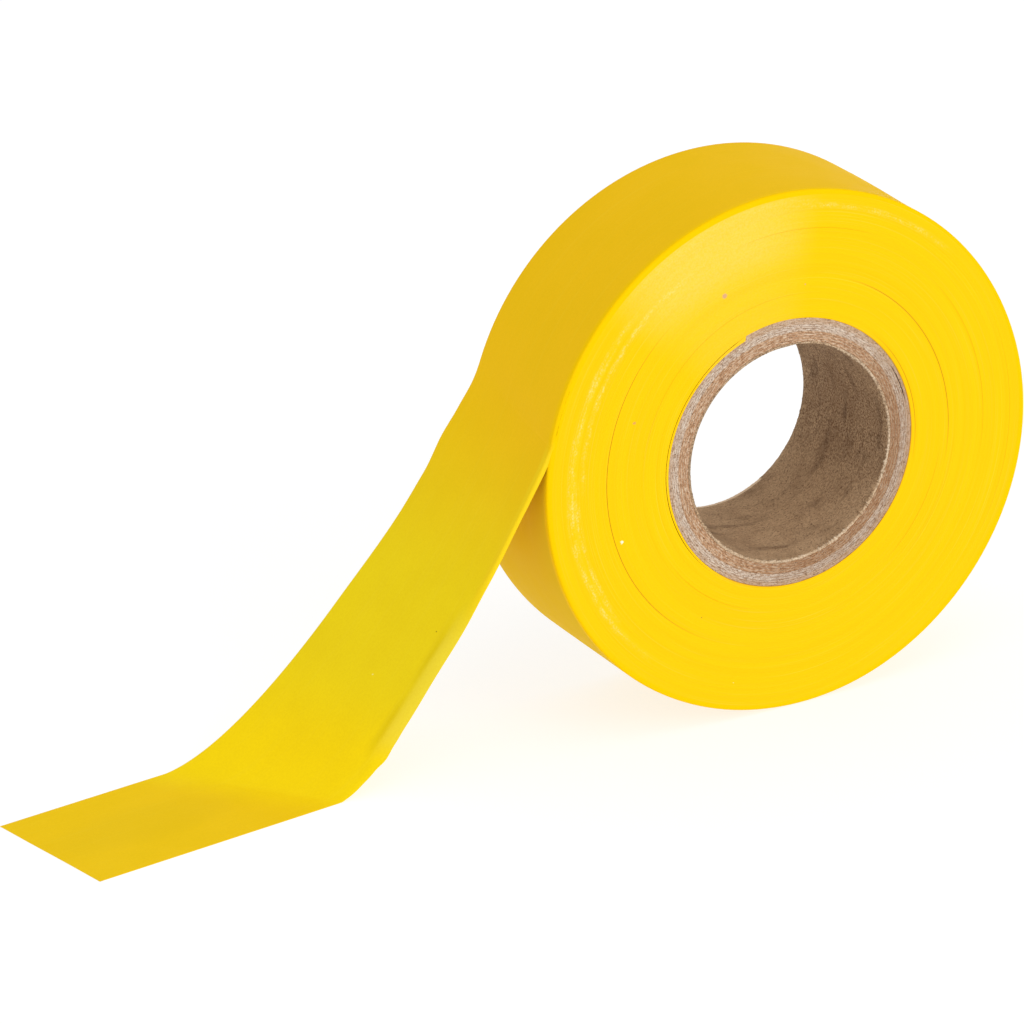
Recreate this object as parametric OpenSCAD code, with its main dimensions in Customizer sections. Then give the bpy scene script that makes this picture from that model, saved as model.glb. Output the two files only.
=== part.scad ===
// Roll of flagging film wound on a spiral-wound cardboard core, standing on its rim, with its free
// tail peeling off one side, dropping to the floor and lying flat.
// The origin is the centre of the core's bore. +Y runs along the bore, away from the front face,
// +Z is up and the free tail leaves towards -X. Millimetres.

/* [Film] */
// Width of the film, which is the length of the core too
film_w = 30.16; // [20:0.01:50]
// Thickness of one lap of film
film_t = 0.059; // [0.04:0.001:0.08]
// Length of film wound on the core, in metres
film_length_m = 91.44; // [45:0.01:120]
// Laps in the first stretch, next to the core
first_laps_count = 6; // [3:1:20]
// Laps in the outermost stretch, which wear and bulge a little
outer_laps_count = 8; // [3:1:20]
// Number of windings between those two, equal in length of film
winding_count = 8; // [2:1:12]

/* [Core] */
// Diameter of the core's bore
bore_d = 40; // [25:0.5:60]
// Thickness of the liner ply, which is the wall of the bore
liner_ply_t = 0.45; // [0.3:0.05:1]
// Number of brown plies over the liner
brown_ply_count = 4; // [2:1:8]
// Thickness of a brown ply
brown_ply_t = 0.5; // [0.3:0.05:0.8]
// Number of grey plies over the brown ones
grey_ply_count = 4; // [2:1:8]
// Thickness of a grey ply
grey_ply_t = 0.4; // [0.3:0.05:0.8]
// Thickness of the ply that wraps the core
wrap_ply_t = 0.6; // [0.3:0.05:1]
// Gap left open where the two edges of the wrapping ply meet
wrap_seam_w = 1.6; // [0.5:0.1:4]
// Where that gap stands, in degrees from +X towards +Z
wrap_seam_angle = 110; // [0:5:355]

/* [Free tail] */
// Thickness of the tail's solids, which stand in for the thinner film
tail_t = 0.3; // [0.2:0.05:0.8]
// Angle above level at which the back edge leaves the roll
peel_back_angle = 22; // [10:0.5:30]
// Angle above level at which the front edge leaves the roll
peel_front_angle = 13.5; // [5:0.5:30]
// Straight run of the back edge as it leaves the roll
peel_back_run = 11; // [5:0.5:20]
// Straight run of the front edge as it leaves the roll
peel_front_run = 4.5; // [3:0.5:20]
// Run over which the back edge levels out before it touches down
land_back_run = 23; // [10:0.5:35]
// Run over which the front edge levels out before it touches down
land_front_run = 10.5; // [5:0.5:30]
// Slope at which the front edge touches down
land_front_angle = 15; // [5:1:40]
// How far past the rim the front edge touches down
touch_run = 38.8; // [30:0.1:80]
// How much further the back edge runs before it touches down
touch_stagger = 18.9; // [8:0.1:25]
// How far the tail has drifted back along +Y where it touches down
tail_drift = 7.1; // [0:0.1:12]
// Angle by which the flat end swings forward, towards -Y
tail_yaw = 7.2; // [0:0.1:15]
// Length of the front edge that lies flat, up to the cut
flat_run = 49; // [35:0.5:150]
// How much longer the back edge is at the cut
cut_slant = 2.2; // [0:0.1:6]
// Flat length that stays with the fold before the sliding end begins
fold_margin = 2; // [1:0.5:5]

/* [Clearances] */
// Gap between the roll and the tail's solids, which only touch in the real film
peel_clearance = 0.35; // [0.3:0.05:0.6]
// Gap between the fold and the sliding end
slide_clearance = 0.2; // [0.1:0.05:0.5]

/* [Hidden] */
$fn = 180;
core_r = bore_d / 2 + liner_ply_t + brown_ply_count * brown_ply_t + grey_ply_count * grey_ply_t
    + wrap_ply_t;
// A lap adds its own thickness, so the side of the roll has the area of the film seen edge on
roll_r = sqrt(pow(core_r, 2) + film_length_m * 1000 * film_t / PI);
brown_r = bore_d / 2 + liner_ply_t;
grey_r = brown_r + brown_ply_count * brown_ply_t;
wrap_r = grey_r + grey_ply_count * grey_ply_t;
windings_in_r = core_r + first_laps_count * film_t;
windings_out_r = roll_r - outer_laps_count * film_t;
bore_margin = 1;
// Share of the drop at which one stretch of the tail gives way to the next, and their facets
peel_end = 0.3;
drop_end = 0.75;
stretch_steps = 8;
film_colour = [0.92, 0.76, 0.08];
tail_colour = [0.90, 0.79, 0.12];
brown_colour = [0.52, 0.40, 0.25];
grey_colour = [0.58, 0.56, 0.52];
liner_colour = [0.45, 0.35, 0.23];

// Radius reached when this many of the equal windings are on
function winding_r(n) =
    sqrt(pow(windings_in_r, 2)
        + (pow(windings_out_r, 2) - pow(windings_in_r, 2)) * n / winding_count);

// Point at share s of a cubic curve from p to q, with the handles a and b
function curve(p, a, b, q, s) =
    p * pow(1 - s, 3) + a * 3 * s * pow(1 - s, 2) + b * 3 * pow(s, 2) * (1 - s) + q * pow(s, 3);

// Middle of the film's thickness where it leaves the roll at an angle, and its heading there
function peel_point(angle, y) =
    let (r = roll_r + peel_clearance + tail_t / 2) [-r * cos(angle), y, r * sin(angle)];
function peel_heading(angle) = [-sin(angle), 0, -cos(angle)];

// Heading of the flat end, and the direction across it from the front edge to the back one
flat_heading = [-cos(tail_yaw), -sin(tail_yaw), 0];
flat_across = [-sin(tail_yaw), cos(tail_yaw), 0];
touch_front = [-roll_r - touch_run, -film_w / 2 + tail_drift, -roll_r + tail_t / 2];
touch_back = touch_front + flat_across * film_w + flat_heading * touch_stagger;

// Points of the front and back edges at share s of the drop
function front_edge(s) =
    let (p = peel_point(peel_front_angle, -film_w / 2),
        landing = [-cos(land_front_angle), 0, -sin(land_front_angle)])
    curve(p, p + peel_heading(peel_front_angle) * peel_front_run,
        touch_front - landing * land_front_run, touch_front, s);
function back_edge(s) =
    let (p = peel_point(peel_back_angle, film_w / 2))
    curve(p, p + peel_heading(peel_back_angle) * peel_back_run,
        touch_back - flat_heading * land_back_run, touch_back, s);

// Points of both edges on the flat end, where a straight line across it stands at length u
function flat_line(u, slant = 0) =
    [touch_front + flat_heading * u,
     touch_front + flat_across * film_w + flat_heading * (u + slant)];

function unit(v) = v / norm(v);

// The two edges at a step, thickened to a ring of four points square to the sheet there
function ring(pair, ahead) =
    let (across = pair[1] - pair[0],
        front_up = unit(cross(across, ahead[0])) * tail_t / 2,
        back_up = unit(cross(across, ahead[1])) * tail_t / 2)
    [pair[0] + front_up, pair[0] - front_up, pair[1] - back_up, pair[1] + back_up];

// Edge pairs and headings along the drop, from share a to share b
function drop_pairs(a, b) =
    [for (i = [0:stretch_steps]) let (s = a + (b - a) * i / stretch_steps)
        [front_edge(s), back_edge(s)]];
function drop_headings(a, b) =
    [for (i = [0:stretch_steps]) let (s = a + (b - a) * i / stretch_steps, d = 0.001)
        s + d > 1 ? [flat_heading, flat_heading]
        : [front_edge(s + d) - front_edge(s), back_edge(s + d) - back_edge(s)]];

// A closed sheet through the rings, with flat ends. Its lower side, the second of the four, is cut
// along the same diagonals as the upper one, so that the wall keeps its thickness where it twists.
module sheet(pairs, headings) {
    last = len(pairs) - 1;
    points = [for (i = [0:last]) each ring(pairs[i], headings[i])];
    sides = [for (i = [0:last - 1], k = [0:3])
        let (a = 4 * i + k, b = 4 * i + (k + 1) % 4)
        each k == 1 ? [[a, a + 4, b], [b, a + 4, b + 4]] : [[a, b + 4, b], [a, a + 4, b + 4]]];
    ends = [[0, 1, 2], [0, 2, 3],
        [4 * last, 4 * last + 2, 4 * last + 1], [4 * last, 4 * last + 3, 4 * last + 2]];
    polyhedron(points, concat(sides, ends));
}

// A tube as long as the film is wide, with its axis along Y
module tube(inner_r, outer_r) {
    rotate([90, 0, 0])
        difference() {
            cylinder(h = film_w, r = outer_r, center = true);
            cylinder(h = film_w + 2 * bore_margin, r = inner_r, center = true);
        }
}

module liner_ply() {
    color(liner_colour) tube(bore_d / 2, brown_r);
}

module brown_ply(i) {
    color(brown_colour) tube(brown_r + (i - 1) * brown_ply_t, brown_r + i * brown_ply_t);
}

module grey_ply(i) {
    color(grey_colour) tube(grey_r + (i - 1) * grey_ply_t, grey_r + i * grey_ply_t);
}

// The outermost ply, open along the seam where its edges meet
module wrap_ply() {
    color(brown_colour)
        difference() {
            tube(wrap_r, core_r);
            rotate([0, -wrap_seam_angle, 0])
                translate([wrap_r, 0, 0])
                    cube([4 * wrap_ply_t, film_w + 2 * bore_margin, wrap_seam_w], center = true);
        }
}

module first_laps() {
    color(film_colour) tube(core_r, windings_in_r);
}

module winding(i) {
    color(film_colour) tube(winding_r(i - 1), winding_r(i));
}

module outer_laps() {
    color(film_colour) tube(windings_out_r, roll_r);
}

module tail_peel() {
    color(tail_colour) sheet(drop_pairs(0, peel_end), drop_headings(0, peel_end));
}

module tail_drop() {
    color(tail_colour) sheet(drop_pairs(peel_end, drop_end), drop_headings(peel_end, drop_end));
}

// The last of the drop, the fold, and the flat film as far as a straight line across it
module tail_fold() {
    level = [flat_heading, flat_heading];
    color(tail_colour)
        sheet(concat(drop_pairs(drop_end, 1), [flat_line(touch_stagger + fold_margin)]),
            concat(drop_headings(drop_end, 1), [level]));
}

// The flat end, up to its slanting cut
module tail_end() {
    level = [flat_heading, flat_heading];
    color(tail_colour)
        sheet([flat_line(touch_stagger + fold_margin + slide_clearance),
                flat_line(flat_run, cut_slant)],
            [level, level]);
}

liner_ply();
for (i = [1:brown_ply_count])
    brown_ply(i);
for (i = [1:grey_ply_count])
    grey_ply(i);
wrap_ply();
first_laps();
for (i = [1:winding_count])
    winding(i);
outer_laps();
tail_peel();
tail_drop();
tail_fold();
tail_end();
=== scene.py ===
import math
import random

import bpy
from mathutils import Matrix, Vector, noise


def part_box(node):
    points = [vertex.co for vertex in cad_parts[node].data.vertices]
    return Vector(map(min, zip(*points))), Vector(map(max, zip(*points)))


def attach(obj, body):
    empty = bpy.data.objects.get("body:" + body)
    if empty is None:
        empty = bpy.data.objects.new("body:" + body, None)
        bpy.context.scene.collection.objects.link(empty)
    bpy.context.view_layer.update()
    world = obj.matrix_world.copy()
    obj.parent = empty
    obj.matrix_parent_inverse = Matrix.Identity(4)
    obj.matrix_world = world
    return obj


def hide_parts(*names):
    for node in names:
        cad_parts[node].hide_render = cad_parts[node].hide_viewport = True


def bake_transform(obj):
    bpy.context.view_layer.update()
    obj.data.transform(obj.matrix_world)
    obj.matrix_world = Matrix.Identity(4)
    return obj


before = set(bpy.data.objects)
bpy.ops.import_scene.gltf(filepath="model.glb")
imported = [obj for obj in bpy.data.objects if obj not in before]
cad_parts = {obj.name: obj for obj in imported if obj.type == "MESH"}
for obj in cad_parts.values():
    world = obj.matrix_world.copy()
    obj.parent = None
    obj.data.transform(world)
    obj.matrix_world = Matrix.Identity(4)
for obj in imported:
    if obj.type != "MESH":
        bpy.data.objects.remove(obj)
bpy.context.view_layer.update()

mm = 0.001
weldGap = 1e-6

# the roll's own sizes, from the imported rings
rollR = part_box("outer_laps")[1].x
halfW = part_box("outer_laps")[1].y
filmW = 2 * halfW
ringSpans = {}
print("frame loaded, roll radius", round(rollR / mm, 2), "mm")


def cosOf(degrees):
    return math.cos(math.radians(degrees))


def sinOf(degrees):
    return math.sin(math.radians(degrees))


def ringSpan(node):
    # inner and outer radius of a packed ring
    if node not in ringSpans:
        radii = [math.hypot(v.co.x, v.co.z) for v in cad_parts[node].data.vertices]
        ringSpans[node] = min(radii), max(radii)
    return ringSpans[node]


def clearSelection():
    if bpy.context.mode != "OBJECT":
        bpy.ops.object.mode_set(mode="OBJECT")
    bpy.ops.object.select_all(action="DESELECT")


def pickPiece(piece):
    clearSelection()
    piece.select_set(True)
    bpy.context.view_layer.objects.active = piece


def weldAll():
    bpy.ops.mesh.select_all(action="SELECT")
    bpy.ops.mesh.remove_doubles(threshold=weldGap)


def drawSection(name, outline):
    # a small plane drawn together to one point, then pulled out point by point round the section
    clearSelection()
    firstR, firstY = outline[0]
    bpy.ops.mesh.primitive_plane_add(size=mm, location=(firstR, firstY, 0))
    piece = bpy.context.object
    piece.name = piece.data.name = name
    bpy.ops.object.mode_set(mode="EDIT")
    bpy.ops.mesh.select_all(action="SELECT")
    bpy.ops.mesh.merge(type="CENTER")
    for here, there in zip(outline, outline[1:] + outline[:1]):
        step = (there[0] - here[0], there[1] - here[1], 0)
        bpy.ops.mesh.extrude_vertices_move(TRANSFORM_OT_translate={"value": step})
    weldAll()
    return piece


def spinSection(steps):
    bpy.ops.mesh.select_all(action="SELECT")
    bpy.ops.mesh.spin(steps=steps, angle=2 * math.pi, center=(0, 0, 0), axis=(0, 1, 0))
    weldAll()
    bpy.ops.mesh.normals_make_consistent(inside=False)
    bpy.ops.object.mode_set(mode="OBJECT")
    bpy.ops.object.transform_apply(location=True, rotation=True, scale=True)


def turnFrom(angle, centre):
    # degrees from centre to angle, the short way round
    return (angle - centre + 180) % 360 - 180


def reshape(piece, rule):
    # rule takes radius, distance along the axis and angle in degrees, and gives the first two
    for v in piece.data.vertices:
        r = math.hypot(v.co.x, v.co.z)
        a = math.degrees(math.atan2(v.co.z, v.co.x))
        r, y = rule(r, v.co.y, a)
        v.co = (r * cosOf(a), y, r * sinOf(a))
    piece.data.update()


def finishPiece(piece, node, finish, smooth=30):
    piece.data.materials.clear()
    piece.data.materials.append(finish)
    pickPiece(piece)
    bpy.ops.object.shade_smooth_by_angle(angle=math.radians(smooth))
    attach(piece, "reel")
    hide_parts(node)


def shade(r, g, b):
    # a colour as it is seen, turned to the values a shader takes
    def straight(c):
        c = c / 255
        return c / 12.92 if c <= 0.04045 else ((c + 0.055) / 1.055) ** 2.4
    return (straight(r), straight(g), straight(b), 1)


def startFinish(name, roughness, specular):
    finish = bpy.data.materials.new(name)
    finish.use_nodes = True
    tree = finish.node_tree
    shader = tree.nodes["Principled BSDF"]
    shader.inputs["Roughness"].default_value = roughness
    shader.inputs["Specular IOR Level"].default_value = specular
    return finish, tree, shader


def addNode(tree, kind, inputs=(), **settings):
    made = tree.nodes.new(kind)
    for key, value in settings.items():
        setattr(made, key, value)
    for key, value in dict(inputs).items():
        if isinstance(value, bpy.types.NodeSocket):
            tree.links.new(value, made.inputs[key])
        else:
            made.inputs[key].default_value = value
    return made


# each of the next ones works in the tree of the first socket that it is given
def calc(operation, a, b=0.0, clamp=False):
    return addNode(a.id_data, "ShaderNodeMath", {0: a, 1: b}, operation=operation,
                   use_clamp=clamp).outputs[0]


def times(first, *others):
    for other in others:
        first = calc("MULTIPLY", first, other)
    return first


def offFrom(value, target):
    # how far a value is from a target, either way
    return calc("ABSOLUTE", calc("SUBTRACT", value, target))


def swayed(value, sway, by):
    # a value pushed to and fro by a grain
    return calc("ADD", value, times(calc("SUBTRACT", sway, 0.5), by * mm))


def vectorCalc(operation, a, b=None):
    inputs = {0: a} if b is None else {0: a, 3 if operation == "SCALE" else 1: b}
    made = addNode(a.id_data, "ShaderNodeVectorMath", inputs, operation=operation)
    return made.outputs["Value" if operation in ("LENGTH", "DOT_PRODUCT") else "Vector"]


def fade(value, fromLow, fromHigh, toLow=0.0, toHigh=1.0):
    ends = {"Value": value, "From Min": fromLow, "From Max": fromHigh, "To Min": toLow,
            "To Max": toHigh}
    return addNode(value.id_data, "ShaderNodeMapRange", ends,
                   interpolation_type="SMOOTHSTEP").outputs["Result"]


def inMm(pair):
    return [end * mm for end in pair]


def fromEnd(pair):
    # two places that far in from the roll's end
    return [halfW - end * mm for end in pair]


def layTones(tone, *layers):
    # each layer, a share and a colour, covers the ones before it by its share
    for share, over in layers:
        tone = addNode(share.id_data, "ShaderNodeMix", {0: share, 6: tone, 7: over},
                       data_type="RGBA").outputs[2]
    return tone


def grain(vector, scale, detail, rough):
    return addNode(vector.id_data, "ShaderNodeTexNoise",
                   {"Vector": vector, "Scale": scale, "Detail": detail,
                    "Roughness": rough}).outputs["Fac"]


def bumpUp(height, distance, strength, over=None):
    inputs = {"Height": height, "Distance": distance * mm, "Strength": strength}
    if over is not None:
        inputs["Normal"] = over
    return addNode(height.id_data, "ShaderNodeBump", inputs).outputs["Normal"]


def roundPlaces(tree):
    # object place, radius, and the direction round the axis, without a seam
    place = addNode(tree, "ShaderNodeTexCoord").outputs["Object"]
    x, y, z = addNode(tree, "ShaderNodeSeparateXYZ", {"Vector": place}).outputs
    flat = addNode(tree, "ShaderNodeCombineXYZ", {"X": x, "Z": z}).outputs[0]
    return {"place": place, "flat": flat, "y": y, "radius": vectorCalc("LENGTH", flat),
            "facing": vectorCalc("NORMALIZE", flat)}


def towards(places, degrees):
    # 1 where the place lies at that angle, -1 on the far side
    return vectorCalc("DOT_PRODUCT", places["facing"], (cosOf(degrees), 0, sinOf(degrees)))


def turnGrain(places, around, rise, detail, rough=0.5):
    # streaks that follow the laps: slow round the axis, fast along the rise
    turn = vectorCalc("SCALE", places["facing"], around)
    lift = addNode(turn.id_data, "ShaderNodeCombineXYZ", {"Y": rise}).outputs[0]
    return grain(vectorCalc("ADD", turn, lift), 1.0, detail, rough)


def roundGrain(places, around, out, detail):
    return turnGrain(places, around, times(places["radius"], out), detail)


def reachFrom(places, far, degrees):
    # distance along the face from a point given by radius in millimetres and angle
    spot = (far * mm * cosOf(degrees), 0, far * mm * sinOf(degrees))
    return vectorCalc("LENGTH", vectorCalc("SUBTRACT", places["flat"], spot))


def arcWindow(places, arcAt, arc, full=0.45):
    # 1 along the middle of the arc, fading to 0 at its ends
    return fade(towards(places, arcAt), cosOf(arc), cosOf(arc * full))


cameraPlan = {
    "azimuth": -26.33, "elevation": 22.16, "tilt": -2.75, "lens": 202.97, "sensor": 36,
    "distance": 1.0262, "aside": -0.04195, "down": -0.01507, "near": 0.01, "far": 50,
}


def addCamera(plan):
    az, el, tilt = plan["azimuth"], plan["elevation"], plan["tilt"]
    back = Vector((sinOf(az) * cosOf(el), -cosOf(az) * cosOf(el), sinOf(el)))
    right = Vector((0, 0, 1)).cross(back).normalized()
    up = back.cross(right)
    side = right * cosOf(tilt) + up * sinOf(tilt)
    top = up * cosOf(tilt) - right * sinOf(tilt)
    data = bpy.data.cameras.new("studioCamera")
    data.lens, data.sensor_width = plan["lens"], plan["sensor"]
    data.clip_start, data.clip_end = plan["near"], plan["far"]
    cam = bpy.data.objects.new("studioCamera", data)
    bpy.context.scene.collection.objects.link(cam)
    turned = cam.matrix_world.copy()
    for row in range(3):
        turned[row][0], turned[row][1], turned[row][2] = side[row], top[row], back[row]
    turned.translation = back * plan["distance"] + side * plan["aside"] + top * plan["down"]
    cam.matrix_world = turned
    bpy.context.scene.camera = cam


lightPlan = {
    "world": 0.72,
    "panels": [
        {"name": "frontPanel", "at": (0.7, -2.3, 1.0), "size": 1.6, "power": 20},
        {"name": "topPanel", "at": (-0.1, -0.9, 2.0), "size": 1.1, "power": 5},
    ],
}


def addLights(plan):
    world = bpy.data.worlds.new("paleRoom")
    bpy.context.scene.world = world
    world.use_nodes = True
    world.node_tree.nodes["Background"].inputs["Color"].default_value = (1, 1, 1, 1)
    world.node_tree.nodes["Background"].inputs["Strength"].default_value = plan["world"]
    for panel in plan["panels"]:
        data = bpy.data.lights.new(panel["name"], "AREA")
        data.shape, data.size, data.energy = "DISK", panel["size"], panel["power"]
        lamp = bpy.data.objects.new(panel["name"], data)
        bpy.context.scene.collection.objects.link(lamp)
        lamp.location = panel["at"]
        lamp.rotation_euler = (-Vector(panel["at"])).to_track_quat("-Z", "Y").to_euler()


floorPlan = {"side": 9.0, "drop": 0.09 * mm, "albedo": 0.35, "glow": 0.72, "roughness": 0.8,
             "specular": 0.1}


def addFloor(plan):
    clearSelection()
    bpy.ops.mesh.primitive_plane_add(size=plan["side"], location=(0, 0, -rollR - plan["drop"]))
    floor = bpy.context.object
    floor.name = "studioFloor"
    bpy.ops.object.transform_apply(location=True, rotation=True, scale=True)
    finish, _, shader = startFinish("paleFloor", plan["roughness"], plan["specular"])
    shader.inputs["Base Color"].default_value = (plan["albedo"],) * 3 + (1,)
    shader.inputs["Emission Color"].default_value = (1, 1, 1, 1)
    shader.inputs["Emission Strength"].default_value = plan["glow"]
    floor.data.materials.append(finish)


addCamera(cameraPlan)
addLights(lightPlan)
addFloor(floorPlan)
bpy.context.scene.view_settings.view_transform = "Standard"
print("camera, lights and floor set")


# open laps seen on the front: radius, how far the circle is pushed aside and towards which angle,
# middle and half length of the arc over which it shows, width, depth, strength of the painted
# shade line in the gap
gapKeys = ("radius", "push", "pushAt", "arcAt", "arc", "width", "deep", "tone")
lapGaps = [dict(zip(gapKeys, row)) for row in (
    (36.0, 0.60, 160, 184, 62, 0.14, 0.07, 0.90),
    (33.0, -0.68, 25, 27, 46, 0.15, 0.07, 0.90),
    (25.5, 0.05, 40, 17, 36, 0.14, 0.07, 0.60),
    (39.6, 0.00, 0, 15, 34, 0.10, 0.05, 0.30),
    (31.0, 0.00, 0, -32, 24, 0.10, 0.05, 0.25),
    (29.4, 0.00, 0, 128, 56, 0.12, 0.05, 0.22),
    (33.7, 0.00, 0, -26, 24, 0.10, 0.05, 0.30),
    (41.2, 0.00, 0, 83, 22, 0.10, 0.05, 0.30),
    (29.1, 0.00, 0, -128, 24, 0.10, 0.05, 0.30),
    (45.2, 0.00, 0, -5, 32, 0.10, 0.04, 0.18),
)]

# pale dust caught on the lap edges
dustKeys = ("radius", "width", "arcAt", "arc", "share")
dustBands = [dict(zip(dustKeys, row)) for row in (
    (43.5, 1.0, 163, 34, 0.85), (41.4, 0.8, 146, 36, 0.80), (43.8, 0.9, -158, 28, 0.70),
    (42.4, 0.8, -166, 22, 0.70), (45.3, 0.8, 66, 26, 0.50), (46.3, 0.9, 105, 28, 0.30),
)]

# crumbs of paper and dirt on the front: radius, angle, half width, seen colour
faceMarks = [
    (34.1, 110.75, 0.58, (214, 164, 128)), (33.1, 158.0, 0.36, (222, 164, 84)),
    (35.2, -165.0, 0.34, (255, 250, 226)), (31.0, 82.7, 0.18, (214, 164, 110)),
    (46.2, 25.0, 0.13, (150, 110, 40)), (32.85, -125.0, 0.13, (150, 110, 40)),
    (42.95, -107.5, 0.15, (255, 250, 220)),
]
markShare = 0.9

filmLook = {
    "face": shade(250, 202, 0), "deepFace": shade(247, 195, 0), "dustAndSheen": shade(255, 226, 128),
    "gap": shade(206, 142, 24), "inside": shade(112, 70, 16), "pressed": shade(196, 124, 44),
    "tread": shade(248, 198, 20), "tail": shade(246, 219, 26), "fold": shade(255, 222, 16),
    "flat": shade(248, 206, 20), "shadow": shade(226, 190, 20), "lip": shade(248, 228, 90),
    "lowTreadShade": shade(230, 189, 12), "crease": shade(214, 186, 16), "hem": shade(247, 211, 30),
    "speckle": shade(218, 174, 6), "drawn": shade(252, 232, 90),
}

# round grains: around, out and detail; place grains: scale, detail and roughness
edgeLook = {
    "roughness": (0.44, 0.54), "specular": 0.06,
    "fine": (1.2, 5200, 3), "broad": (0.7, 700, 2), "streak": (9, 2000, 3), "wander": (4, 60, 2),
    "rings": (0.6, 7000, 3), "salt": (2600, 3, 0.7), "broken": (420, 3, 0.6),
    "wanderBy": 0.9, "raggedBy": 0.9,
    "bloom": {"at": 109, "spread": 30, "radii": (33, 40), "low": 0.2, "high": 0.8, "share": 0.5},
    "inside": {"depths": (0.16, 0.035), "share": 0.9},
    "pressed": {"radii": (24.72, 24.95), "share": 0.6, "at": -15, "arc": (-0.5, -0.2)},
}


def makeFilmEdges(look):
    finish, tree, shader = startFinish("filmEdges", 0.5, look["specular"])
    places = roundPlaces(tree)
    radius, place = places["radius"], places["place"]
    fine, broad, streak, wander, rings = (roundGrain(places, *look[key]) for key in
                                          ("fine", "broad", "streak", "wander", "rings"))
    salt, broken = (grain(place, *look[key]) for key in ("salt", "broken"))
    dustAndSheen, front = filmLook["dustAndSheen"], calc("LESS_THAN", places["y"], 0.0)
    layers = [(fade(broad, 0.35, 0.65, 0, 0.4), filmLook["deepFace"]),
              (fade(fine, 0.56, 0.8, 0, 0.12), dustAndSheen)]
    wavy = swayed(radius, wander, look["wanderBy"])
    loose = times(fade(streak, 0.35, 0.62, 0.1, 1), fade(salt, 0.42, 0.62, 0.1, 1),
                  fade(broken, 0.35, 0.6, 0.15, 1), front)
    for band in dustBands:
        core = fade(offFrom(wavy, band["radius"] * mm), 0, band["width"] * mm, 1, 0)
        window = arcWindow(places, band["arcAt"], band["arc"])
        layers.append((times(core, window, loose, band["share"]), dustAndSheen))
    # painted sheen: a soft pale bloom where the lap edges catch the light from above, in the same
    # pale colour as the dust
    bloom = look["bloom"]
    lit = fade(towards(places, bloom["at"]), cosOf(bloom["spread"]), 1.0)
    reach = fade(radius, *inMm(bloom["radii"]), bloom["low"], bloom["high"])
    layers.append((times(lit, reach, fade(salt, 0.3, 0.68, 0.45, 1), bloom["share"]), dustAndSheen))
    # painted shade: a darker line along each open lap's gap, where little light gets in
    for gap in lapGaps:
        off = offFrom(reachFrom(places, gap["push"], gap["pushAt"]), gap["radius"] * mm)
        line = fade(off, gap["width"] * 0.15 * mm, gap["width"] * 0.7 * mm, gap["tone"], 0)
        window = arcWindow(places, gap["arcAt"], gap["arc"])
        layers.append((times(line, window, front), filmLook["gap"]))
    for far, aim, half, seen in faceMarks:
        off = swayed(reachFrom(places, far, aim), salt, look["raggedBy"])
        spot = fade(off, half * 0.6 * mm, half * mm, markShare, 0)
        layers.append((times(spot, front), shade(*seen)))
    # between the laps, behind the face, hardly any light gets in
    inside = look["inside"]
    shut = fade(calc("ABSOLUTE", places["y"]), *fromEnd(inside["depths"]), inside["share"], 0)
    layers.append((shut, filmLook["inside"]))
    # the laps next to the core take on its brown where they press on it
    press = look["pressed"]
    pressed = times(fade(radius, *inMm(press["radii"]), press["share"], 0),
                    fade(towards(places, press["at"]), *press["arc"]))
    layers.append((pressed, filmLook["pressed"]))
    tree.links.new(layTones(filmLook["face"], *layers), shader.inputs["Base Color"])
    tree.links.new(fade(fine, 0.3, 0.7, *look["roughness"]), shader.inputs["Roughness"])
    ringed = bumpUp(rings, 0.012, 0.5)
    tree.links.new(bumpUp(salt, 0.02, 0.5, ringed), shader.inputs["Normal"])
    return finish


# specks on the free film: metres along from the peel and across, half width, seen colour
tailMarks = [
    (0.0431, 0.0050, 0.20, (170, 138, 20)), (0.0548, 0.0124, 0.22, (250, 236, 130)),
]

# places in metres along from the peel and across from the front edge
sheetLook = {
    "roughness": (0.52, 0.62), "specular": 0.02,
    "cloud": (90, 3, 0.55), "speckle": (2600, 3, 0.65), "drawn": (18, 1400, 1),
    "toTail": (-0.004, 0.040), "toFold": (0.052, 0.074), "toFlat": (0.080, 0.093),
    "lowTreadShade": (-0.24, -0.17), "freed": (-0.002, 0.004),
    "hollow": {"along": 0.106, "across": 0.015, "long": 0.020, "wide": 0.008, "share": 0.22},
    "rim": (0.0003, 0.0013), "hem": (0.0006, 0.0016), "hemEnd": (0.028, 0.044),
    "lip": (0.0017, 0.0034), "lipStart": (0.034, 0.046), "lipEnd": (0.064, 0.072),
    "creaseAt": 0.0036, "creaseHalf": 0.0014, "creaseDeep": (0.047, 0.0635),
    "creaseRun": (0.001, 0.010),
}


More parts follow.
